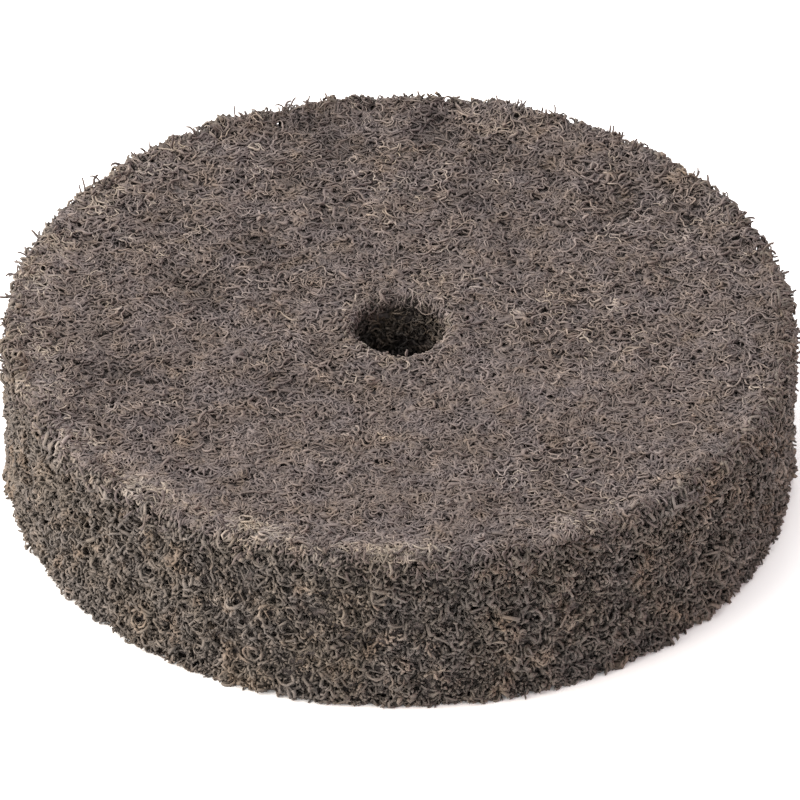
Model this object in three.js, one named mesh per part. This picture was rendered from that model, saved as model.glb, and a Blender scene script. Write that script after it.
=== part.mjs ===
// A lapidary polishing wheel of non-woven abrasive web: a stack of annular plies, pressed together and
// cured with the resin that coats their fibres, round a plain arbor bore. It lies flat on the XY plane
// with the bore's axis on +Z. Millimetres.
import * as THREE from "three";

// Driving dimensions.
const WHEEL_DIAMETER = 101.6;
const BORE_DIAMETER = 12.7;
const PLY_COUNT = 8;
const PLY_THICKNESS = 2.875;
// Radius to which use has rounded the two outer edges of the stack, on the bottom and the top ply.
const WORN_EDGE_RADIUS = 1.2;

// Fineness of the round surfaces.
const SEGMENTS_AROUND = 64;
const WORN_EDGE_STEPS = 3;

const WHEEL_RADIUS = WHEEL_DIAMETER / 2;
const BORE_RADIUS = BORE_DIAMETER / 2;

// The plies are cut from one roll, so they share a colour and differ only by a shade.
const WEB_COLOUR = new THREE.Color(0x665c57);
const SHADE_STEP = 0.006;

function webMaterial(plyNumber) {
  const shade = plyNumber % 2 ? SHADE_STEP : -SHADE_STEP;
  return new THREE.MeshStandardMaterial({
    color: WEB_COLOUR.clone().offsetHSL(0, 0, shade),
    roughness: 0.9,
    metalness: 0,
  });
}

// The points of one outer corner of a ply, as (radius, height): a sharp one, or a quarter circle that
// turns from startAngle by a right angle, anticlockwise in the (radius, height) plane.
function outerCorner(height, startAngle, worn) {
  if (!worn) return [new THREE.Vector2(WHEEL_RADIUS, height)];
  const inward = startAngle < 0 ? WORN_EDGE_RADIUS : -WORN_EDGE_RADIUS;
  const arc = new THREE.EllipseCurve(
    WHEEL_RADIUS - WORN_EDGE_RADIUS,
    height + inward,
    WORN_EDGE_RADIUS,
    WORN_EDGE_RADIUS,
    startAngle,
    startAngle + Math.PI / 2,
  );
  return arc.getPoints(WORN_EDGE_STEPS);
}

// A ply's section, turned round the bore's axis: up the outside and back down the bore.
function plyGeometry(isBottom, isTop) {
  const section = [
    new THREE.Vector2(BORE_RADIUS, 0),
    ...outerCorner(0, -Math.PI / 2, isBottom),
    ...outerCorner(PLY_THICKNESS, 0, isTop),
    new THREE.Vector2(BORE_RADIUS, PLY_THICKNESS),
    new THREE.Vector2(BORE_RADIUS, 0),
  ];
  return new THREE.LatheGeometry(section, SEGMENTS_AROUND).rotateX(Math.PI / 2);
}

function plyName(plyNumber) {
  if (plyNumber === 1) return "bottom_face_ply";
  if (plyNumber === PLY_COUNT) return "top_face_ply";
  return `web_ply_${plyNumber}`;
}

// Ply 1 is the lowest. Each one lies on the last, face to face.
function ply(plyNumber) {
  const geometry = plyGeometry(plyNumber === 1, plyNumber === PLY_COUNT);
  const mesh = new THREE.Mesh(geometry, webMaterial(plyNumber));
  mesh.name = plyName(plyNumber);
  mesh.position.z = (plyNumber - 1) * PLY_THICKNESS;
  return mesh;
}

const wheel = new THREE.Group();
for (let plyNumber = 1; plyNumber <= PLY_COUNT; plyNumber++) wheel.add(ply(plyNumber));

export default wheel;
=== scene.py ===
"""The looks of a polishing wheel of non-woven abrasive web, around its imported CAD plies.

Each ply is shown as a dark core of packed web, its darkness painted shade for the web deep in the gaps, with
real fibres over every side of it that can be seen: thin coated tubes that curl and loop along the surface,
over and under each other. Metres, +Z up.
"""

import math
from collections import namedtuple

import bpy
import numpy as np
from mathutils import Matrix, Vector


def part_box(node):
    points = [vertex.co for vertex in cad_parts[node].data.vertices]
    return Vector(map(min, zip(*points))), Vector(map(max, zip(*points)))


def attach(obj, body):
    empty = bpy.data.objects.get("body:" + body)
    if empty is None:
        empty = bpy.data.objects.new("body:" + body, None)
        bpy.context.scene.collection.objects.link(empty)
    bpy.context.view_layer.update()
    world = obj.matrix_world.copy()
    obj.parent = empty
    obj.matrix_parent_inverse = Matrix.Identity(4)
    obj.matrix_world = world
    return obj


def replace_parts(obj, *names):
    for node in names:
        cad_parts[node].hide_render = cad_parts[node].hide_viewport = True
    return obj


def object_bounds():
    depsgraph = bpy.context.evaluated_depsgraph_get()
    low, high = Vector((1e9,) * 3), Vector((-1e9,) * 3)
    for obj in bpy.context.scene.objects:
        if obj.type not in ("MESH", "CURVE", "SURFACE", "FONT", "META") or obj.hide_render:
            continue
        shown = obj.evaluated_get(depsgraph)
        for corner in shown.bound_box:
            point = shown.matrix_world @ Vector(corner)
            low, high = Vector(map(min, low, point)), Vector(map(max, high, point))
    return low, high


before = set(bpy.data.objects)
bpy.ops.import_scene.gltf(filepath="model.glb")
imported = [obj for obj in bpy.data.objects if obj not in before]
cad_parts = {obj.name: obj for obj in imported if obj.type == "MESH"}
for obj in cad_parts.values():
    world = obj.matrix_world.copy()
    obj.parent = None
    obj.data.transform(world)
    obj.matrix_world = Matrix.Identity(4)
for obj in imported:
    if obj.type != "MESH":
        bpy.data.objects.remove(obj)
cad_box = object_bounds()

MM = 0.001
TAU = 2 * math.pi
QUARTER_TURN = math.pi / 2
SEED = 7

# The wheel, from the frame. The bore's radius is the one that the record's stand-ins give.
PLIES = sorted(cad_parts, key=lambda node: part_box(node)[0][2])
RADIUS = (cad_box[1].x - cad_box[0].x) / 2
TOP = cad_box[1].z
BORE = 6.35 * MM

# How far past the rim the middles of a face's fibres are scattered, and how far down the bore they go.
FACE_OVERHANG = 0.6 * MM

# How far use has rounded off the fibres' outline at the rim's edges and at the bore's.
OUTER_WEAR = 1.2 * MM
INNER_WEAR = 1.3 * MM

# How far fibres stand proud of the rim, and of its edges and the bore's, and how wide those ridges are. The
# top edge's is higher behind, by the share given.
PROUD = 0.28 * MM
TOP_EDGE_PROUD = 0.6 * MM
TOP_EDGE_WIDTH_INWARD = 3.2 * MM
TOP_EDGE_WIDTH_DOWN = 1.2 * MM
TOP_EDGE_HIGHER_BEHIND = 0.35
BOTTOM_EDGE_PROUD = 0.35 * MM
BOTTOM_EDGE_WIDTH = 1.1 * MM
BORE_EDGE_PROUD = 0.3 * MM
BORE_EDGE_WIDTH = 1.4 * MM

# The pale band that use has worn round the rim's top edge: how pale, and its middle and width along the skin.
EDGE_PALER = 0.55
EDGE_PALEST_AT = -1.5 * MM
EDGE_PALE_WIDTH = 2.3 * MM
# How patchy that band is: its mean, the swing of its patches, and the most.
EDGE_WORN = 0.55
EDGE_WORN_PATCHES = 0.6
EDGE_WORN_MOST = 1.2
# How it varies round the wheel, which is painted light, lighter on the side towards the left lamp: its mean,
# how much it grows towards -X and -Y, and its range, darker below 0 as painted shade.
EDGE_SIDE_PAINTED_LIGHT = 0.5
EDGE_SIDE_PAINTED_LIGHT_X = 0.6
EDGE_SIDE_PAINTED_LIGHT_Y = 0.4
EDGE_SIDE_PAINTED_LIGHT_RANGE = (-0.3, 1.1)

# How far the top face is pressed flat: the mean, the swing of its patches, and how much it grows towards -Y.
MATTED = 0.45
MATTED_PATCHES = 0.5
MATTED_TREND = 0.5

# The height of the web's unevenness: the pressed web's, the core's own, the fibres' own on the outer half of
# a face, and how much more that is on the rim.
RELIEF = 0.25 * MM
CORE_LUMPS = 0.1 * MM
FACE_RAGGED = 0.1 * MM
RIM_RAGGED = 0.28 * MM

# Each kind of unevenness: its seed, and its shortest and longest wave.
PRESSED = (3, 5 * MM, 13 * MM)
LUMPY = (11, 2.4 * MM, 6 * MM)
RAGGED = (4, 1.8 * MM, 4.5 * MM)
MATTING = (21, 9 * MM, 30 * MM)
EDGE_PATCHES = (31, 6 * MM, 18 * MM)
CLUMPS = (41, 3.2 * MM, 8 * MM)
RELIEF_WAVES = 26

# The web's pores, as (spacing, seed), and the wider gaps between its strands, as (widest, spacing, seed).
# Their places come from a square table of pores, used again and again across the plane.
FACE_PORES = (1.8 * MM, 5)
FACE_GAPS = (0.85 * MM, 2.9 * MM, 8)
WALL_PORES = (1.8 * MM, 6)
WALL_GAPS = (1.1 * MM, 3.3 * MM, 9)
# PORE_SPOT is where in its square a pore can be, and PORE_SIZE its least and greatest share of the widest.
PORE_SQUARES = 128
PORE_SPOT = (0.05, 0.95)
PORE_SIZE = (0.45, 1.0)

# Places on the top face, (x, y, size) in millimetres, where use has lifted the loose fibre.
# They were read off the photograph and a map of its tone, and rounded.
LIFTED = [
    (-18, 16, 4), (-24, 6, 3), (-28, 10, 3), (-8, 23, 2.5), (10, 28, 3), (13, 24, 2.5), (29, 28, 3),
    (-36, -10, 4), (-15, -14, 3), (18, -2, 2.5), (-12, 45, 4), (-7, 40, 3.5), (4, 44, 3.5), (14, 18, 2),
    (19, 35, 3), (-14, 33, 2.5), (-30, 24, 2.5), (12, 38, 3),
]
# What happens at those places: the share of fibres that lie deepest, how much deeper all are, and how much
# darker they are painted, as painted shade in those hollows.
LIFTED_SHARE = 0.7
LIFTED_DEEPER = 0.25 * MM
LIFTED_PAINTED_SHADE = 0.42


# ---------------------------------------------------------------- the wheel's skin

def outer_skin(s):
    """The section's outline outside: s is the way along it from where the top face starts to round off.

    It runs level on the top face (s below 0), over the worn edge, and down the rim to the lower edge.
    Returns the radius, the height, and the outward normal's two parts.
    """
    arc = OUTER_WEAR * QUARTER_TURN
    wall = TOP - 2 * OUTER_WEAR
    turn = np.clip(s, 0, arc) / OUTER_WEAR + np.clip(s - arc - wall, 0, arc) / OUTER_WEAR
    r = RADIUS - OUTER_WEAR + OUTER_WEAR * np.sin(turn)
    r = r + np.minimum(s, 0) - np.maximum(s - 2 * arc - wall, 0)
    z = TOP - OUTER_WEAR + OUTER_WEAR * np.cos(turn) - np.clip(s - arc, 0, wall)
    return r, z, np.sin(turn), np.cos(turn)


def inner_skin(s):
    """The same for the bore: level on the top face below 0, then over its edge and down its wall."""
    arc = INNER_WEAR * QUARTER_TURN
    wall = TOP - 2 * INNER_WEAR
    turn = np.clip(s, 0, arc) / INNER_WEAR + np.clip(s - arc - wall, 0, arc) / INNER_WEAR
    r = BORE + INNER_WEAR - INNER_WEAR * np.sin(turn)
    r = r - np.minimum(s, 0) + np.maximum(s - 2 * arc - wall, 0)
    z = TOP - INNER_WEAR + INNER_WEAR * np.cos(turn) - np.clip(s - arc, 0, wall)
    return r, z, -np.sin(turn), np.cos(turn)


# How far along each skin its straight wall starts, and where the skin ends.
RIM_START = OUTER_WEAR * QUARTER_TURN
BORE_START = INNER_WEAR * QUARTER_TURN
RIM_END = 2 * RIM_START + TOP - 2 * OUTER_WEAR
BORE_END = 2 * BORE_START + TOP - 2 * INNER_WEAR


def place(skin, s, around, out):
    """Points and normals at skin distance s, angle around the axis, and distance out from the skin."""
    r, z, normal_r, normal_z = skin(s)
    flat = np.stack([np.cos(around), np.sin(around)], -1)
    normal = np.concatenate([flat * normal_r[..., None], normal_z[..., None]], -1)
    point = np.concatenate([flat * r[..., None], z[..., None]], -1)
    return point + normal * out[..., None], normal


def relief(points, seed, shortest, longest):
    """Smooth unevenness, about -1 to 1, as a sum of waves through space."""
    rng = np.random.default_rng(seed)
    direction = unit(rng.normal(size=(RELIEF_WAVES, 3)))
    length = rng.uniform(shortest, longest, RELIEF_WAVES)
    phase = rng.uniform(0, TAU, RELIEF_WAVES)
    total = np.zeros(points.shape[:-1])
    for k in range(RELIEF_WAVES):
        total += np.sin(points @ direction[k] * (TAU / length[k]) + phase[k])
    return total * math.sqrt(2 / RELIEF_WAVES) * 0.5


def lifted(points, spots):
    """How far the loose fibre has come off at each point of a face, from 0 to 1: most at the given spots."""
    total = np.zeros(points.shape[:-1])
    for x, y, size in np.array(spots) * MM:
        total += np.exp(-((points[..., 0] - x) ** 2 + (points[..., 1] - y) ** 2) / size ** 2)
    return np.clip(total, 0, 1)


def matted(points):
    """How flat and dense use has pressed the top face's web, from 0 to 1: more towards -Y, in patches."""
    flat = points * np.array([1, 1, 0])
    patches = MATTED_PATCHES * relief(flat, *MATTING)
    return np.clip(MATTED + patches - MATTED_TREND * points[..., 1] / RADIUS, 0, 1)


def edge_wear_and_painted_light(around, way):
    """How much paler use has made fibres near the rim's top edge, in patches; way is s in outer_skin.

    Round the wheel it is painted light, palest towards -X and -Y where the left lamp falls, darker away from
    it.
    """
    spot = np.stack([np.cos(around), np.sin(around), 0 * around], -1) * RADIUS
    patchy = np.clip(EDGE_WORN + EDGE_WORN_PATCHES * relief(spot, *EDGE_PATCHES), 0, EDGE_WORN_MOST)
    # Painted light: the band is paler on the side towards the left lamp and darker on the far side.
    side = EDGE_SIDE_PAINTED_LIGHT - EDGE_SIDE_PAINTED_LIGHT_X * np.cos(around) - EDGE_SIDE_PAINTED_LIGHT_Y * np.sin(around)
    side = np.clip(side, *EDGE_SIDE_PAINTED_LIGHT_RANGE)
    return EDGE_PALER * side * patchy * np.exp(-((way - EDGE_PALEST_AT) / EDGE_PALE_WIDTH) ** 2)


def clumped(spot):
    """Where the rim's web is loose and deep with painted shade, above 0, or dense and paler: at points (way
    round, way down).
    """
    return relief(np.concatenate([spot, 0 * spot[..., :1]], -1), *CLUMPS)


def parted(line, openness, widest, spacing, seed):
    """Points in a plane, (..., 2), pushed out of the web's pores: round gaps scattered about the plane.

    Each square of the given spacing holds one pore, and a point within twice its radius moves outward.
    """
    table = np.random.default_rng(seed)
    spot = table.uniform(*PORE_SPOT, (PORE_SQUARES, PORE_SQUARES, 2))
    size = widest * table.uniform(*PORE_SIZE, (PORE_SQUARES, PORE_SQUARES))
    square = np.floor(line / spacing).astype(int)
    for step in np.ndindex(3, 3):
        near = square + np.array(step) - 1
        row, column = near[..., 0] % PORE_SQUARES, near[..., 1] % PORE_SQUARES
        centre = (near + spot[row, column]) * spacing
        radius = size[row, column] * openness
        away = line - centre
        distance = np.maximum(np.hypot(away[..., 0], away[..., 1]), 1e-9)
        pushed = np.where(distance < 2 * radius, radius + distance / 2, distance)
        line = centre + away * (pushed / distance)[..., None]
    return line


def unit(vectors):
    """The vectors, each made one long."""
    return vectors / np.maximum(np.linalg.norm(vectors, axis=-1, keepdims=True), 1e-12)


# ---------------------------------------------------------------- fibres

# Each fibre's tube has this many sides.
SIDES = 3
# Where a fibre's sides lie in its strip of the UV square, and its two end caps, as shares of the strip.
UV_LEFT, UV_WIDTH = 0.04, 0.92
UV_LOW, UV_HEIGHT = 0.06, 0.88
UV_CAP = [[0.0, 0.0], [0.03, 0.0], [0.0, 0.5]]
UV_NEAR_CAP, UV_FAR_CAP, UV_CAP_LOW = 0.04, 0.92, 0.2
# A fibre's second, faster swing, as shares of its first one's size and wave.
SECOND_SWING = 0.45
SECOND_WAVE = 0.43
# The fewest steps of a fibre that are worth keeping when its ends are cut off.
FEWEST_STEPS = 3
# How much the resin's thickness varies from fibre to fibre and along each one, and its beads: size and share.
RESIN_SPREAD = 0.22
RESIN_UNEVEN = 0.14
BEAD = 0.55
BEAD_SHARE = 0.06


def crimped(rng, count, points, step, swing, wave, drift):
    """Flat curling lines, as (line, point, xy), each with its middle at the origin.

    The heading swings to and fro by up to swing radians over each wave, and drifts at random.
    """
    along = np.arange(points) * step
    wave = rng.uniform(*wave, (count, 1))
    swing = rng.uniform(*swing, (count, 1))
    second = np.sin(TAU * along / (wave * SECOND_WAVE) + rng.uniform(0, TAU, (count, 1)))
    second = swing * SECOND_SWING * second
    heading = rng.uniform(0, TAU, (count, 1)) + second
    heading = heading + swing * np.sin(TAU * along / wave + rng.uniform(0, TAU, (count, 1)))
    heading = heading + np.cumsum(rng.normal(0, drift, (count, points)), axis=1)
    line = np.cumsum(step * np.stack([np.cos(heading), np.sin(heading)], -1), axis=1)
    return line - line[:, points // 2, None]


def weave(rng, count, points, step, height, wave):
    """How each fibre rises and dips along its way."""
    along = np.arange(points) * step
    wave = rng.uniform(*wave, (count, 1))
    height = rng.uniform(*height, (count, 1))
    return height * np.sin(TAU * along / wave + rng.uniform(0, TAU, (count, 1)))


def trimmed(values, kept):
    """Each line cut to its kept stretch round its middle point, and spread over as many points again."""
    count, points = kept.shape
    middle = points // 2
    before = np.cumprod(kept[:, middle::-1], axis=1).sum(1)
    after = np.cumprod(kept[:, middle:], axis=1).sum(1)
    first, last = middle - before + 1, middle + after - 1
    good = (before > 0) & (last - first >= FEWEST_STEPS)
    first, last, values = first[good], last[good], values[good]
    at = first[:, None] + (last - first)[:, None] * np.linspace(0, 1, points)[None]
    low = np.minimum(at.astype(int), points - 2)
    share = (at - low)[..., None]
    row = np.arange(len(values))[:, None]
    return values[row, low] * (1 - share) + values[row, low + 1] * share


def thickness(rng, count, points, base):
    """The radius along each fibre: uneven resin, with a bead here and there."""
    along = np.arange(points)[None]
    own = base * rng.lognormal(0, RESIN_SPREAD, (count, 1))
    waves = np.sin(along * rng.uniform(0.6, 1.7, (count, 1)) + rng.uniform(0, TAU, (count, 1)))
    uneven = 1 + RESIN_UNEVEN * waves
    bead = 1 + BEAD * (rng.random((count, points)) < BEAD_SHARE)
    return own * uneven * bead


def tubes(paths, radii):
    """Closed tubes along paths, an array of (fibre, point, xyz): their points, triangles and corner UVs.

    Each fibre is its own strip of the UV square, so that no two share a place on it.
    """
    count, points, _ = paths.shape
    tangent = unit(np.gradient(paths, axis=1))
    normal = np.empty_like(paths)
    start = np.cross(tangent[:, 0], np.array([0.31, 0.17, 0.94]))
    normal[:, 0] = unit(start)
    for k in range(1, points):
        last = normal[:, k - 1]
        normal[:, k] = unit(last - (last * tangent[:, k]).sum(-1, keepdims=True) * tangent[:, k])
    side = np.cross(tangent, normal)
    turn = np.arange(SIDES) * TAU / SIDES
    ring = (side[:, :, None] * np.cos(turn)[:, None] + normal[:, :, None] * np.sin(turn)[:, None])
    rings = paths[:, :, None] + ring * radii[:, :, None, None]

    fibre = np.arange(count)
    columns = max(1, round(math.sqrt(count / points)))
    rows = math.ceil(count / columns)
    left, low = (fibre % columns) / columns, (fibre // columns) / rows
    across = (UV_LEFT + UV_WIDTH * np.arange(points) / (points - 1)) / columns
    up = (UV_LOW + UV_HEIGHT * np.arange(SIDES + 1) / SIDES) / rows

    base = (fibre[:, None] * points + np.arange(points - 1)) * SIDES
    faces, uvs = [], []
    for k in range(SIDES):
        a, b = base + k, base + (k + 1) % SIDES
        c, d = b + SIDES, a + SIDES
        u0, u1 = left[:, None] + across[:-1], left[:, None] + across[1:]
        v0, v1 = low[:, None] + up[k] + 0 * u0, low[:, None] + up[k + 1] + 0 * u0
        at = [np.stack(p, -1) for p in ((u0, v0), (u0, v1), (u1, v1), (u1, v0))]
        faces += [np.stack([a, b, c], -1), np.stack([a, c, d], -1)]
        uvs += [np.stack([at[0], at[1], at[2]], -2), np.stack([at[0], at[2], at[3]], -2)]
    near, far = fibre * points * SIDES, (fibre * points + points - 1) * SIDES
    faces = [f.reshape(-1, 3) for f in faces]
    uvs = [u.reshape(-1, 3, 2) for u in uvs]
    corner = np.array(UV_CAP) / np.array([columns, rows])
    for k in range(1, SIDES - 1):
        for end, edge in ((np.stack([near, near + k + 1, near + k], -1), UV_NEAR_CAP),
                          (np.stack([far, far + k, far + k + 1], -1), UV_FAR_CAP)):
            faces.append(end)
            origin = np.stack([left + edge / columns, low + UV_CAP_LOW / rows], -1)
            uvs.append(origin[:, None] + corner[None])
    return rings.reshape(-1, 3), np.concatenate(faces), np.concatenate(uvs)


def make_object(name, points, faces, material, uv, attributes=()):
    """A smooth mesh object from points and triangles, with a UV per corner and named values per point."""
    mesh = bpy.data.meshes.new(name)
    mesh.vertices.add(len(points))
    mesh.vertices.foreach_set("co", points.astype(np.float32).ravel())
    mesh.loops.add(faces.size)
    mesh.loops.foreach_set("vertex_index", faces.astype(np.int32).ravel())
    mesh.polygons.add(len(faces))
    mesh.polygons.foreach_set("loop_start", np.arange(0, faces.size, 3, dtype=np.int32))
    mesh.polygons.foreach_set("use_smooth", np.ones(len(faces), bool))
    layer = mesh.uv_layers.new(name="OFBake")
    layer.data.foreach_set("uv", uv.astype(np.float32).ravel())
    for key, values in attributes:
        made = mesh.attributes.new(key, "FLOAT", "POINT")
        made.data.foreach_set("value", values.astype(np.float32).ravel())
    mesh.update(calc_edges=True)
    mesh.materials.append(material)
    piece = bpy.data.objects.new(name, mesh)
    bpy.context.scene.collection.objects.link(piece)
    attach(piece, "root")
    return piece


class Mat:
    """Fibres gathered for one piece: paths, radii, and the tint and depth that colour them."""

    def __init__(self):
        self.parts = []

    def add(self, paths, radii, tint, depth):
        """Takes in more fibres, all with the same number of points."""
        self.parts.append((paths, radii, tint, depth))

    def build(self, name, material):
        """One mesh of all the fibres. Those of each length share a band of the UV square."""
        points, faces, uvs, tints, depths = [], [], [], [], []
        total = 0
        groups = {}
        for paths, radii, tint, depth in self.parts:
            groups.setdefault(paths.shape[1], []).append((paths, radii, tint, depth))
        share = len(groups)
        for k, (length, parts) in enumerate(sorted(groups.items())):
            paths, radii, tint, depth = (np.concatenate([p[i] for p in parts]) for i in range(4))
            p, f, uv = tubes(paths, radii)
            uv = uv / np.array([1, share]) + np.array([0, k / share])
            points.append(p)
            faces.append(f + total)
            uvs.append(uv)
            tints.append(np.repeat(tint, length * SIDES))
            depths.append(np.repeat(depth.reshape(-1), SIDES))
            total += len(p)
        return make_object(
            name, np.concatenate(points), np.concatenate(faces), material, np.concatenate(uvs),
            [("tint", np.concatenate(tints)), ("depth", np.concatenate(depths))],
        )


# ---------------------------------------------------------------- materials

# A fibre's depth, for the painted shade that darkens deep fibres, is 1 at the full depth set below under the
# skin, and below 0 where it stands clear, which a painted highlight lightens.
FULL_SHADE_DEPTH = 1.2 * MM
SHADE_DEPTH_RANGE = (-0.25, 1.0)


def new_material(name):
    """A new material, its node tree and its main shader."""
    material = bpy.data.materials.new(name)
    material.use_nodes = True
    tree = material.node_tree
    return material, tree, tree.nodes["Principled BSDF"]


def node(tree, kind, **settings):
    """A new node, with its inputs and properties set by name."""
    made = tree.nodes.new(kind)
    for key, value in settings.items():
        if key in made.inputs:
            made.inputs[key].default_value = value
        else:
            setattr(made, key, value)
    return made


def noise(tree, coordinates, scale, detail=3.0):
    """A cloudy value about 0.5."""
    made = node(tree, "ShaderNodeTexNoise", Scale=scale, Detail=detail, Roughness=0.6)
    tree.links.new(coordinates, made.inputs["Vector"])
    return made.outputs["Fac"]


def ranged(tree, value, low, high, start=0.3, end=0.7):
    """The value moved from the range start to end, to the range low to high."""
    made = node(tree, "ShaderNodeMapRange")
    for key, number in (("From Min", start), ("From Max", end), ("To Min", low), ("To Max", high)):
        made.inputs[key].default_value = number
    tree.links.new(value, made.inputs["Value"])
    return made.outputs["Result"]


def times(tree, a, b):
    """The product of two values."""
    made = node(tree, "ShaderNodeMath", operation="MULTIPLY")
    tree.links.new(a, made.inputs[0])
    tree.links.new(b, made.inputs[1])
    return made.outputs[0]


def tinted(tree, colour, factor):
    """The colour made darker or lighter by a factor."""
    made = node(tree, "ShaderNodeVectorMath", operation="SCALE")
    tree.links.new(colour, made.inputs[0])
    tree.links.new(factor, made.inputs["Scale"])
    return made.outputs["Vector"]


def ramp(tree, value, stops):
    """The colour that the stops, a list of (place, colour), give for a value."""
    made = node(tree, "ShaderNodeValToRGB")
    bands = made.color_ramp.elements
    while len(bands) < len(stops):
        bands.new(0.5)
    for band, (position, colour) in zip(bands, stops):
        band.position = position
        band.color = (*colour, 1)
    tree.links.new(value, made.inputs["Fac"])
    return made.outputs["Color"]


# Coated fibre from dark to pale: mauve-grey on the flat faces, and yellower where the rim is cut.
FACE_TINTS = [
    (0.0, (0.051, 0.041, 0.038)),
    (0.30, (0.074, 0.059, 0.056)),
    (0.62, (0.102, 0.083, 0.078)),
    (0.86, (0.156, 0.129, 0.12)),
    (1.0, (0.226, 0.193, 0.165)),
]
WALL_TINTS = [
    (0.0, (0.049, 0.042, 0.038)),
    (0.30, (0.075, 0.064, 0.057)),
    (0.62, (0.106, 0.091, 0.08)),
    (0.86, (0.165, 0.139, 0.119)),
    (1.0, (0.245, 0.206, 0.171)),
]
# Factors on those colours, from bluer to yellower.
HUES = [(0.36, (0.98, 1.0, 1.03)), (0.64, (1.03, 1.0, 0.925))]

# How fine each noise of the coating is, in repeats per metre.
HUE_PATCHES = 170
BEIGE_PATCHES = 260
TONE_PATCHES = 400
COAT_SPECKS = 900
SHINE_SPECKS = 1800
GRIT = 9000
# The same for the core's net of strands, how fine its bends are, and how far they shift it.
CORE_NET = 1100.0
CORE_BENDS = 700.0
CORE_SHIFT = 1.2 * MM


def fibre_material(name, stops, beige, share, mottle):
    """Nylon fibre coated in brown-grey resin and grit: matte, uneven, and mottled over a few millimetres.

    The coating has worn off to a beige in places, by up to the given share. mottle is how much darker and
    lighter the patches are.
    """
    material, tree, shader = new_material(name)
    position = node(tree, "ShaderNodeTexCoord").outputs["Object"]
    tint = node(tree, "ShaderNodeAttribute", attribute_name="tint").outputs["Fac"]
    depth = node(tree, "ShaderNodeAttribute", attribute_name="depth").outputs["Fac"]
    worn = node(tree, "ShaderNodeMix", data_type="RGBA")
    worn_patches = noise(tree, position, BEIGE_PATCHES, detail=4)
    tree.links.new(ranged(tree, worn_patches, 0.0, share, start=0.52, end=0.74), worn.inputs[0])
    tree.links.new(ramp(tree, tint, stops), worn.inputs[6])
    worn.inputs[7].default_value = (*beige, 1)
    hue = node(tree, "ShaderNodeVectorMath", operation="MULTIPLY")
    tree.links.new(worn.outputs[2], hue.inputs[0])
    tree.links.new(ramp(tree, noise(tree, position, HUE_PATCHES), HUES), hue.inputs[1])
    patches = ranged(tree, noise(tree, position, TONE_PATCHES, detail=2), 1 - mottle, 1 + mottle)
    coat = ranged(tree, noise(tree, position, COAT_SPECKS, detail=2), 0.88, 1.12)
    # Painted shade and highlight: the colour is darkened where a fibre lies deep and lightened where it
    # stands clear.
    deep = ranged(tree, depth, 1.08, 0.8, *SHADE_DEPTH_RANGE)
    factor = times(tree, times(tree, patches, coat), deep)
    tree.links.new(tinted(tree, hue.outputs[0], factor), shader.inputs["Base Color"])
    tree.links.new(ranged(tree, noise(tree, position, SHINE_SPECKS), 0.65, 0.92), shader.inputs["Roughness"])
    shader.inputs["Specular IOR Level"].default_value = 0.35
    grit = node(tree, "ShaderNodeBump", Strength=0.2, Distance=0.02 * MM)
    tree.links.new(noise(tree, position, GRIT, detail=2), grit.inputs["Height"])
    tree.links.new(grit.outputs["Normal"], shader.inputs["Normal"])
    return material


def core_material():
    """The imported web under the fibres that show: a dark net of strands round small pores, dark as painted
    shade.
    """
    material, tree, shader = new_material("packed_web_painted_shade")
    position = node(tree, "ShaderNodeTexCoord").outputs["Object"]
    shift = node(tree, "ShaderNodeTexNoise", Scale=CORE_BENDS, Detail=3.0)
    tree.links.new(position, shift.inputs["Vector"])
    bent = node(tree, "ShaderNodeVectorMath", operation="MULTIPLY_ADD")
    tree.links.new(shift.outputs["Color"], bent.inputs[0])
    bent.inputs[1].default_value = (CORE_SHIFT, CORE_SHIFT, CORE_SHIFT)
    tree.links.new(position, bent.inputs[2])
    net = node(tree, "ShaderNodeTexVoronoi", feature="DISTANCE_TO_EDGE", Scale=CORE_NET)
    tree.links.new(bent.outputs[0], net.inputs["Vector"])
    strands = net.outputs["Distance"]
    # Painted shade: the web is dark, and darkest inside its pores, away from the strands.
    colour = ramp(tree, strands, [(0.0, (0.15, 0.124, 0.115)), (0.10, (0.11, 0.091, 0.084)),
                                  (0.24, (0.05, 0.041, 0.038))])
    tree.links.new(colour, shader.inputs["Base Color"])
    shader.inputs["Roughness"].default_value = 0.92
    return material


# ---------------------------------------------------------------- cores

# How far the core stays inside the CAD ply on the sides that fibres cover.
CORE_INSET = 0.82 * MM
# How many columns of points go round a core.
CORE_AROUND = 360
# The core's rows of points on a wall, on a face that fibres cover, and on one against the next ply.
WALL_ROWS = 6
FACE_ROWS = 61
JOINT_ROWS = 5


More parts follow.
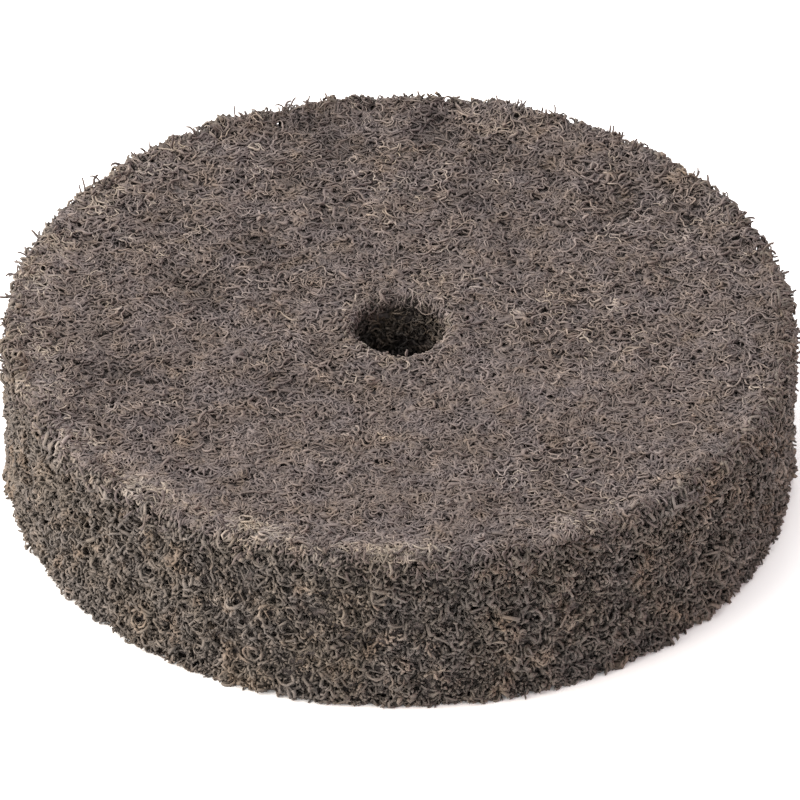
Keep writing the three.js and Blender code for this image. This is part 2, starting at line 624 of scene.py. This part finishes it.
def core(ply, material):
    """The lumpy body of one ply, dark with painted shade, a closed ring that stays under the fibres of its
    outer sides.
    """
    low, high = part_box(ply)[0][2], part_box(ply)[1][2]
    is_bottom, is_top = ply == PLIES[0], ply == PLIES[-1]
    bottom = low + CORE_INSET * is_bottom
    top = high - CORE_INSET * is_top
    outside, inside = RADIUS - CORE_INSET, BORE + CORE_INSET
    over, under = (FACE_ROWS if is_top else JOINT_ROWS), (FACE_ROWS if is_bottom else JOINT_ROWS)
    r = np.concatenate([
        np.full(WALL_ROWS, outside), np.linspace(outside, inside, over)[1:-1],
        np.full(WALL_ROWS, inside), np.linspace(inside, outside, under)[1:-1],
    ])
    z = np.concatenate([
        np.linspace(bottom, top, WALL_ROWS), np.full(over - 2, top),
        np.linspace(top, bottom, WALL_ROWS), np.full(under - 2, bottom),
    ])
    count = len(r)
    around = np.arange(CORE_AROUND)[:, None] * TAU / CORE_AROUND
    points = np.stack([r * np.cos(around), r * np.sin(around), np.broadcast_to(z, (CORE_AROUND, count))], -1)
    # The underside's fibres are made on top and turned over, so its core takes its lumps from there.
    turned = ((z == bottom) & is_bottom)[:, None]
    origin = np.where(turned, points * np.array([1, -1, -1]) + np.array([0, 0, TOP]), points)
    lumps = RELIEF * relief(origin, *PRESSED) + CORE_LUMPS * relief(origin, *LUMPY)
    sideways = np.where(r == outside, 1.0, np.where(r == inside, -1.0, 0.0))
    upward = np.where(z == top, 1.0 * is_top, np.where(z == bottom, -1.0 * is_bottom, 0.0))
    grown = r + lumps * sideways
    points = np.stack([grown * np.cos(around), grown * np.sin(around), points[..., 2] + lumps * upward], -1)
    i, j = np.meshgrid(np.arange(CORE_AROUND), np.arange(count), indexing="ij")
    a = i * count + j
    b = (i + 1) % CORE_AROUND * count + j
    c = (i + 1) % CORE_AROUND * count + (j + 1) % count
    d = i * count + (j + 1) % count
    u0, u1 = i / CORE_AROUND, (i + 1) / CORE_AROUND
    v0, v1 = j / count, (j + 1) / count
    at = [np.stack(p, -1) for p in ((u0, v0), (u1, v0), (u1, v1), (u0, v1))]
    faces = np.concatenate([np.stack([a, b, c], -1).reshape(-1, 3), np.stack([a, c, d], -1).reshape(-1, 3)])
    uvs = np.concatenate([np.stack([at[0], at[1], at[2]], -2).reshape(-1, 3, 2),
                          np.stack([at[0], at[2], at[3]], -2).reshape(-1, 3, 2)])
    return make_object(ply + "_core", points.reshape(-1, 3), faces, material, uvs)


# ---------------------------------------------------------------- mats of fibre

# A kind of fibre: its radius, its number of points and the step between them; how far its heading swings and
# over what wave; its least and greatest depth; how high it weaves; how much paler it is than the middle tint;
# the size of the pores that it goes round; and how much paler it is where use has not pressed the face flat,
# painted light on the open web, which is painted shade where it is below 0.
Kind = namedtuple("Kind", "radius points step swing wave depth weave pale pores looser", defaults=[0.0])

# Fibres of the flat faces: a thick layer underneath, the web over it, and fine strands on top, made pale as
# painted highlights on the topmost fibres.
FACE_UNDERLAY = Kind(
    radius=0.21 * MM, points=14, step=0.46 * MM, swing=(0.9, 2.0), wave=(3 * MM, 6 * MM),
    depth=(0.35 * MM, 0.85 * MM), weave=(0.05 * MM, 0.18 * MM), pale=0.05, pores=0.3 * MM,
)
FACE_WEB = Kind(
    radius=0.145 * MM, points=17, step=0.40 * MM, swing=(0.9, 2.2), wave=(2.6 * MM, 5.4 * MM),
    depth=(0.0, 0.55 * MM), weave=(0.05 * MM, 0.20 * MM), pale=0.03, pores=0.5 * MM, looser=-0.07,
)
FACE_STRAND = Kind(
    radius=0.10 * MM, points=17, step=0.42 * MM, swing=(0.7, 2.0), wave=(2.8 * MM, 6 * MM),
    depth=(-0.05 * MM, 0.25 * MM), weave=(0.05 * MM, 0.22 * MM), pale=0.16, pores=0.5 * MM, looser=0.22,
)
# Fibres of the cut walls: shorter, thicker with resin and more tightly curled, round deeper pores.
# The deepest wall fibres are painted darker, pale below 0, as painted shade.
WALL_UNDERLAY = Kind(
    radius=0.25 * MM, points=9, step=0.46 * MM, swing=(0.9, 2.2), wave=(2.6 * MM, 5 * MM),
    depth=(0.65 * MM, 1.1 * MM), weave=(0.05 * MM, 0.2 * MM), pale=-0.15, pores=0.3 * MM,
)
RIM_WEB = Kind(
    radius=0.19 * MM, points=9, step=0.37 * MM, swing=(0.7, 2.1), wave=(2.2 * MM, 4.6 * MM),
    depth=(0.0, 0.8 * MM), weave=(0.25 * MM, 0.7 * MM), pale=-0.04, pores=0.46 * MM,
)
# The bore's fibres are painted darker, pale below 0, as painted shade down the bore.
BORE_WEB = Kind(
    radius=0.14 * MM, points=10, step=0.34 * MM, swing=(0.8, 2.2), wave=(1.9 * MM, 3.8 * MM),
    depth=(0.0, 0.8 * MM), weave=(0.08 * MM, 0.3 * MM), pale=-0.32, pores=0.4 * MM,
)

# How much the tint varies from fibre to fibre.
TINT_SPREAD = 0.08
# How far the depths lean towards the least, 1 being not at all, and how much less the deepest fibres keep
# clear of the pores.
SHALLOW_BIAS = 1.1
DEEP_CLOSER = 0.75
# How much a heading drifts at random at each step, in radians, and the waves that fibres weave in.
FACE_DRIFT = 0.16
WALL_DRIFT = 0.2
FACE_WEAVE_WAVE = (1.8 * MM, 5 * MM)
WALL_WEAVE_WAVE = (1.4 * MM, 4 * MM)
# How much shallower the fibres of the face lie where it is pressed flat.
FLAT_SHALLOWER = 0.55
# How open the face's pores are where it is not pressed flat, and its gaps there and where fibre is lifted.
LOOSE_PORES = 1.25
LOOSE_GAPS = 0.85
LIFTED_GAPS = 1.1
# How much of the rim's worn edge the faces' fibres bend over, before their ends are cut.
OVER_RIM_EDGE = 0.6
# The share of the face's fibres whose middles rise clear of the others, and how far, in millimetres.
STRAY_SHARE = 0.03
STRAY_RISE = (0.1, 0.7)
# How much deeper the rim's web is where it is loose, and how much darker, as painted shade; and how much
# paler the bore's is near its top edge, painted light where the bore's painted shade eases.
LOOSE_DEEPER = 0.3 * MM
LOOSE_PAINTED_SHADE = 0.18
BORE_EDGE_PAINTED_LIGHT = 0.5
BORE_PAINTED_LIGHT_WIDTH = 2.6 * MM


def tints(rng, count, pale):
    """A value from 0, dark, to 1, pale, for each fibre."""
    return np.clip(rng.normal(0.5 + pale, TINT_SPREAD, count), 0, 1)


def how_many(kind, area, cover):
    """The number of fibres whose outlines add up to cover times the area."""
    return round(cover * area / (2 * kind.radius * kind.step * kind.points))


def depths(rng, kind, count):
    """How far under the skin each fibre lies, and how much it keeps clear of the pores: less when deep."""
    share = rng.random(count) ** SHALLOW_BIAS
    deep = kind.depth[0] + (kind.depth[1] - kind.depth[0]) * share
    return deep, 1 - DEEP_CLOSER * share[:, None]


def lying(rng, kind, skin, s, around, deep, lift, paler):
    """Fibres that lie on a skin: their paths, radii, tints and depths, for a Mat.

    They stand a little proud of the rim, and more so along its two edges, where the web is loosest.
    """
    at, normal = place(skin, s, around, np.zeros_like(s))
    out = lift - deep[:, None] + RELIEF * relief(at, *PRESSED)
    if skin is inner_skin:
        out = out + BORE_EDGE_PROUD * np.exp(-((s - BORE_START / 2) / BORE_EDGE_WIDTH) ** 2)
    if skin is outer_skin:
        rough = np.clip(s / RIM_START, 0, 1)
        out = out + PROUD * rough
        past_edge = s - RIM_START / 2
        spread = np.where(past_edge < 0, TOP_EDGE_WIDTH_INWARD, TOP_EDGE_WIDTH_DOWN)
        higher_behind = 1 + TOP_EDGE_HIGHER_BEHIND * np.sin(around)
        out = out + TOP_EDGE_PROUD * higher_behind * np.exp(-(past_edge / spread) ** 2)
        past_edge = s - RIM_END + RIM_START / 2
        out = out + BOTTOM_EDGE_PROUD * np.exp(-(past_edge / BOTTOM_EDGE_WIDTH) ** 2)
        out = out + (FACE_RAGGED + RIM_RAGGED * rough) * relief(at, *RAGGED)
    radii = thickness(rng, *s.shape, kind.radius)
    tint = np.clip(tints(rng, len(s), kind.pale) + paler, 0, 1)
    # The depth that the material's painted shade and painted highlight go by.
    depth = np.clip((deep[:, None] - lift) / FULL_SHADE_DEPTH, *SHADE_DEPTH_RANGE)
    return at + normal * out[..., None], radii, tint, depth


def lying_on_face(rng, kind, cover, spots):
    """Fibres that curl in the plane of the top face and bend over the rim's and the bore's edges.

    They lie deep at the given spots, where use has lifted the loose fibre, and are darkened there with
    painted shade.
    """
    count = how_many(kind, math.pi * RADIUS ** 2, cover)
    middle = kind.points // 2
    line = crimped(rng, count, kind.points, kind.step, kind.swing, kind.wave, FACE_DRIFT)
    spot_r = (RADIUS + FACE_OVERHANG) * np.sqrt(rng.random(count))
    spot_a = rng.uniform(0, TAU, count)
    line = line + np.stack([spot_r * np.cos(spot_a), spot_r * np.sin(spot_a)], -1)[:, None]
    deep, openness = depths(rng, kind, count)
    bare = lifted(line[:, middle], spots)
    deep = np.where(rng.random(count) < LIFTED_SHARE * bare, kind.depth[1], deep) + LIFTED_DEEPER * bare
    flat = matted(np.concatenate([line, 0 * line[..., :1]], -1))
    deep = deep * (1 - FLAT_SHALLOWER * flat[:, middle])
    line = parted(line, openness * (LOOSE_PORES - flat), kind.pores, *FACE_PORES)
    wider = np.clip(LIFTED_GAPS * lifted(line, spots) + LOOSE_GAPS * (1 - flat), 0, 1)
    line = parted(line, openness * wider, *FACE_GAPS)
    past_rim = np.hypot(line[..., 0], line[..., 1]) - (RADIUS - OUTER_WEAR)
    past_bore = BORE + INNER_WEAR - np.hypot(line[..., 0], line[..., 1])
    kept = (past_rim < RIM_START * OVER_RIM_EDGE) & (past_bore < BORE_START + FACE_OVERHANG)
    extra = np.stack([deep, bare, flat[:, middle]], -1)
    extra = np.broadcast_to(extra[:, None], (*line.shape[:2], 3))
    line = trimmed(np.concatenate([line, extra], -1), kept)
    deep, bare, flat = line[:, 0, 2], line[:, 0, 3], line[:, 0, 4]
    count = len(line)
    rho = np.hypot(line[..., 0], line[..., 1])
    around = np.arctan2(line[..., 1], line[..., 0])
    lift = weave(rng, count, kind.points, kind.step, kind.weave, FACE_WEAVE_WAVE)
    stray = rng.random((count, 1)) < STRAY_SHARE
    rise = np.sin(np.linspace(0, math.pi, kind.points)) ** 2
    lift = lift + stray * rise * rng.uniform(*STRAY_RISE, (count, 1)) * MM
    near_rim = rho[:, middle] > (RADIUS + BORE) / 2
    fibres = []
    for half, skin, way in ((near_rim, outer_skin, rho - (RADIUS - OUTER_WEAR)),
                            (~near_rim, inner_skin, BORE + INNER_WEAR - rho)):
        way = way[half]
        # Painted light and shade: the edge band's painted light round the wheel, painted shade at the lifted
        # spots, and the open web's painted light, which is painted shade where its value is below 0.
        paler = edge_wear_and_painted_light(around[half, 0], way[:, middle]) * (skin is outer_skin)
        paler = paler - LIFTED_PAINTED_SHADE * bare[half] + kind.looser * (1 - flat[half])
        fibres.append(lying(rng, kind, skin, way, around[half], deep[half], lift[half], paler))
    return [np.concatenate(both) for both in zip(*fibres)]


def lying_on_wall(rng, kind, skin, radius, start, length, cover):
    """Fibres on one ply's share of a round wall, start being how far down its skin the ply begins."""
    count = how_many(kind, TAU * radius * length, cover)
    line = crimped(rng, count, kind.points, kind.step, kind.swing, kind.wave, WALL_DRIFT)
    whole = RIM_END if skin is outer_skin else BORE_END
    middle = np.stack([rng.uniform(0, TAU, count) * radius, start + rng.uniform(0, length, count)], -1)
    deep, openness = depths(rng, kind, count)
    line = line + middle[:, None]
    line = parted(line, openness, kind.pores, *WALL_PORES)
    line = parted(line, openness, *WALL_GAPS)
    s = np.clip(line[..., 1], 0, whole)
    lift = weave(rng, count, kind.points, kind.step, kind.weave, WALL_WEAVE_WAVE)
    if skin is outer_skin:
        clump = clumped(middle)
        deep = deep + LOOSE_DEEPER * np.clip(clump, 0, 1)
        # Painted shade where the rim's web is loose and painted light where it is dense, over the edge band.
        paler = edge_wear_and_painted_light(middle[:, 0] / radius, middle[:, 1]) - LOOSE_PAINTED_SHADE * clump
    else:
        # Painted light near the bore's top edge, where the bore's painted shade eases.
        paler = BORE_EDGE_PAINTED_LIGHT * np.exp(-(middle[:, 1] / BORE_PAINTED_LIGHT_WIDTH) ** 2)
    return lying(rng, kind, skin, s, line[..., 0] / radius, deep, lift, paler)


# A cut end's number of points, how far above the skin it starts, how much it leans, its length before its
# reach is added, how far it curls in radians, its radius against a web fibre's, the share of that at its tip,
# and how pale it is and how deep it counts as for the painted shade.
HOOK_POINTS = 5
HOOK_START = 0.1 * MM
HOOK_LEAN = 0.7
HOOK_LENGTH = 0.4 * MM
HOOK_CURL = (0.4, 3.4)
HOOK_RADIUS = (0.8, 1.4)
HOOK_TIP = 0.75
HOOK_PALER = -0.12
HOOK_DEPTH = 0.1


def standing(rng, skin, start, length, count, reach):
    """Cut fibre ends, hooks and half loops that stand out of a skin, thick with resin."""
    s = start + rng.uniform(0, length, count)
    around = rng.uniform(0, TAU, count)
    at, normal = place(skin, s, around, np.full(count, HOOK_START))
    lean = unit(normal + HOOK_LEAN * rng.normal(size=normal.shape))
    bend = unit(np.cross(lean, rng.normal(size=normal.shape)))
    long = HOOK_LENGTH + reach[0] + (reach[1] - reach[0]) * rng.random(count) ** 2
    turn = rng.uniform(*HOOK_CURL, (count, 1, 1)) * np.linspace(0, 1, HOOK_POINTS)[None, :, None]
    way = lean[:, None] * np.cos(turn) + bend[:, None] * np.sin(turn)
    paths = at[:, None] + np.cumsum(way, axis=1) * (long / HOOK_POINTS)[:, None, None]
    own = FACE_WEB.radius * rng.uniform(*HOOK_RADIUS, (count, 1))
    radii = np.broadcast_to(own, (count, HOOK_POINTS)).copy()
    radii[:, -1] *= HOOK_TIP
    return paths, radii, tints(rng, count, HOOK_PALER), np.full((count, HOOK_POINTS), HOOK_DEPTH)


def turned_over(fibres):
    """The same fibres on the underside, none of them lower than what the wheel lies on."""
    paths, radii, tint, depth = fibres
    paths = paths * np.array([1, -1, -1]) + np.array([0, 0, TOP])
    return kept_off_floor((paths, radii, tint, depth))


def kept_off_floor(fibres):
    """The same fibres, raised where they would reach below what the wheel lies on."""
    paths, radii, tint, depth = fibres
    paths = paths.copy()
    paths[..., 2] = np.maximum(paths[..., 2], radii)
    return paths, radii, tint, depth


# ---------------------------------------------------------------- camera, light and floor

# The camera, which was fitted to the wheel's outline in the photograph. It looks at the point of the bore's
# axis at the height CAMERA_AIM. The lens is in millimetres, as Blender has it.
CAMERA_ELEVATION = math.radians(36.33)
CAMERA_DISTANCE = 30.9 * RADIUS
CAMERA_AIM = 10.9 * MM
CAMERA_LENS = 544.0
CAMERA_ROLL = math.radians(0.2)

# The lights, as (name, position, size, watts, colour), set by comparing the render with the photograph.
LIGHTS = [
    ("key", (-0.30, 0.25, 1.0), 1.4, 15.5, (1.0, 0.985, 0.975)),
    ("left", (-1.1, -0.25, 0.35), 1.3, 43.0, (1.0, 0.90, 0.805)),
    ("right", (1.1, -0.35, 0.3), 0.6, 5.5, (1.0, 0.60, 0.60)),
]
# Half the width of the floor.
FLOOR_HALF = 4.0


def look(thing, target, roll=0.0):
    """Turns a camera or light, which looks along its own -Z, towards a point."""
    way = Vector(target) - thing.location
    turned = way.to_track_quat("-Z", "Y").to_matrix() @ Matrix.Rotation(roll, 3, "Z")
    thing.rotation_euler = turned.to_euler()


def camera():
    """The camera, on the wheel's -Y side and above it."""
    data = bpy.data.cameras.new("camera")
    data.lens = CAMERA_LENS
    made = bpy.data.objects.new("camera", data)
    bpy.context.scene.collection.objects.link(made)
    back = Vector((0, -math.cos(CAMERA_ELEVATION), math.sin(CAMERA_ELEVATION)))
    made.location = Vector((0, 0, TOP)) + back * CAMERA_DISTANCE
    look(made, (0, 0, CAMERA_AIM), CAMERA_ROLL)
    bpy.context.scene.camera = made


def area_light(name, position, size, power, colour):
    """A square light that points at the middle of the wheel."""
    data = bpy.data.lights.new(name, "AREA")
    data.size = size
    data.energy = power
    data.color = colour
    made = bpy.data.objects.new(name, data)
    bpy.context.scene.collection.objects.link(made)
    made.location = position
    look(made, (0, 0, TOP / 2))


def studio():
    """The lights and the white surroundings."""
    for light in LIGHTS:
        area_light(*light)
    world = bpy.data.worlds.new("studio")
    world.use_nodes = True
    world.node_tree.nodes["Background"].inputs["Color"].default_value = (1, 1, 1, 1)
    world.node_tree.nodes["Background"].inputs["Strength"].default_value = 1.0
    bpy.context.scene.world = world
    bpy.context.scene.view_settings.view_transform = "Standard"


def floor():
    """The pale floor that the wheel lies on."""
    material, tree, shader = new_material("pale_floor")
    shader.inputs["Base Color"].default_value = (0.97, 0.97, 0.97, 1)
    shader.inputs["Roughness"].default_value = 0.9
    mesh = bpy.data.meshes.new("floor")
    corners = [(x * FLOOR_HALF, y * FLOOR_HALF, 0) for x, y in ((-1, -1), (1, -1), (1, 1), (-1, 1))]
    mesh.from_pydata(corners, [], [(0, 1, 2, 3)])
    mesh.materials.append(material)
    made = bpy.data.objects.new("floor", mesh)
    bpy.context.scene.collection.objects.link(made)


# ---------------------------------------------------------------- the wheel

# The cut ends that stand out of each ply's share of the rim, of the rim's two edges, and of the bore's edge:
# how many, and their least and greatest reach.
RIM_HOOKS = (1200, (0.1 * MM, 0.8 * MM))
LOWER_EDGE_HOOKS = (900, (0.2 * MM, 1.1 * MM))
UPPER_EDGE_HOOKS = (2400, (0.2 * MM, 2.4 * MM))
BORE_EDGE_HOOKS = (150, (0.2 * MM, 0.9 * MM))
# The stretches of skin that those of the edges stand on: where each starts, and its length.
LOWER_EDGE = (RIM_END - RIM_START - 0.5 * MM, RIM_START + 0.5 * MM)
UPPER_EDGE = (-0.6 * MM, 3.0 * MM)
BORE_EDGE = (0.2 * MM, 2.2 * MM)

# The fibres of each face: its name, its seeds, its lifted places, and its layers from the lowest up. A layer
# has a name, a kind of fibre, a cover (as in how_many) and the number of pieces that it is split into.
FACES = [
    ("top", [SEED, 100, 3], LIFTED, [
        ("underlay", FACE_UNDERLAY, 1.3, 2), ("web", FACE_WEB, 2.0, 5), ("strands", FACE_STRAND, 0.42, 2),
    ]),
    ("bottom", [SEED, 100, 6], [], [
        ("underlay", FACE_UNDERLAY, 1.4, 2), ("web", FACE_WEB, 0.75, 2),
    ]),
]

camera()
studio()
floor()

face_look = fibre_material("face_fibre", FACE_TINTS, beige=(0.24, 0.175, 0.115), share=0.25, mottle=0.18)
wall_look = fibre_material("cut_fibre", WALL_TINTS, beige=(0.25, 0.17, 0.113), share=0.34, mottle=0.28)
core_look = core_material()

for number, ply in enumerate(PLIES):
    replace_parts(core(ply, core_look), ply)
    rng = np.random.default_rng([SEED, number])
    share = (len(PLIES) - 1 - number) / len(PLIES)
    rim = (RIM_END * share, RIM_END / len(PLIES))
    bore = (BORE_END * share, BORE_END / len(PLIES))
    mat = Mat()
    for kind, skin, radius, stretch, cover in (
        (WALL_UNDERLAY, outer_skin, RADIUS, rim, 1.2),
        (RIM_WEB, outer_skin, RADIUS, rim, 2.0),
        (WALL_UNDERLAY, inner_skin, BORE, bore, 1.0),
        (BORE_WEB, inner_skin, BORE, bore, 1.5),
    ):
        mat.add(*kept_off_floor(lying_on_wall(rng, kind, skin, radius, *stretch, cover)))
    mat.add(*kept_off_floor(standing(rng, outer_skin, *rim, *RIM_HOOKS)))
    if number == 0:
        mat.add(*kept_off_floor(standing(rng, outer_skin, *LOWER_EDGE, *LOWER_EDGE_HOOKS)))
    mat.build(ply + "_wall_fibres", wall_look)

for side, seeds, spots, layers in FACES:
    rng = np.random.default_rng(seeds)
    for name, kind, cover, pieces in layers:
        web = lying_on_face(rng, kind, cover, spots)
        deepest_first = np.argsort(-web[3].mean(1), kind="stable")
        for lay, chosen in enumerate(np.array_split(deepest_first, pieces), 1):
            fibres = [values[chosen] for values in web]
            mat = Mat()
            mat.add(*(turned_over(fibres) if side == "bottom" else fibres))
            if kind is FACE_STRAND and lay == pieces:
                mat.add(*standing(rng, outer_skin, *UPPER_EDGE, *UPPER_EDGE_HOOKS))
                mat.add(*standing(rng, inner_skin, *BORE_EDGE, *BORE_EDGE_HOOKS))
            mat.build(f"{side}_face_{name}_{lay}", face_look)
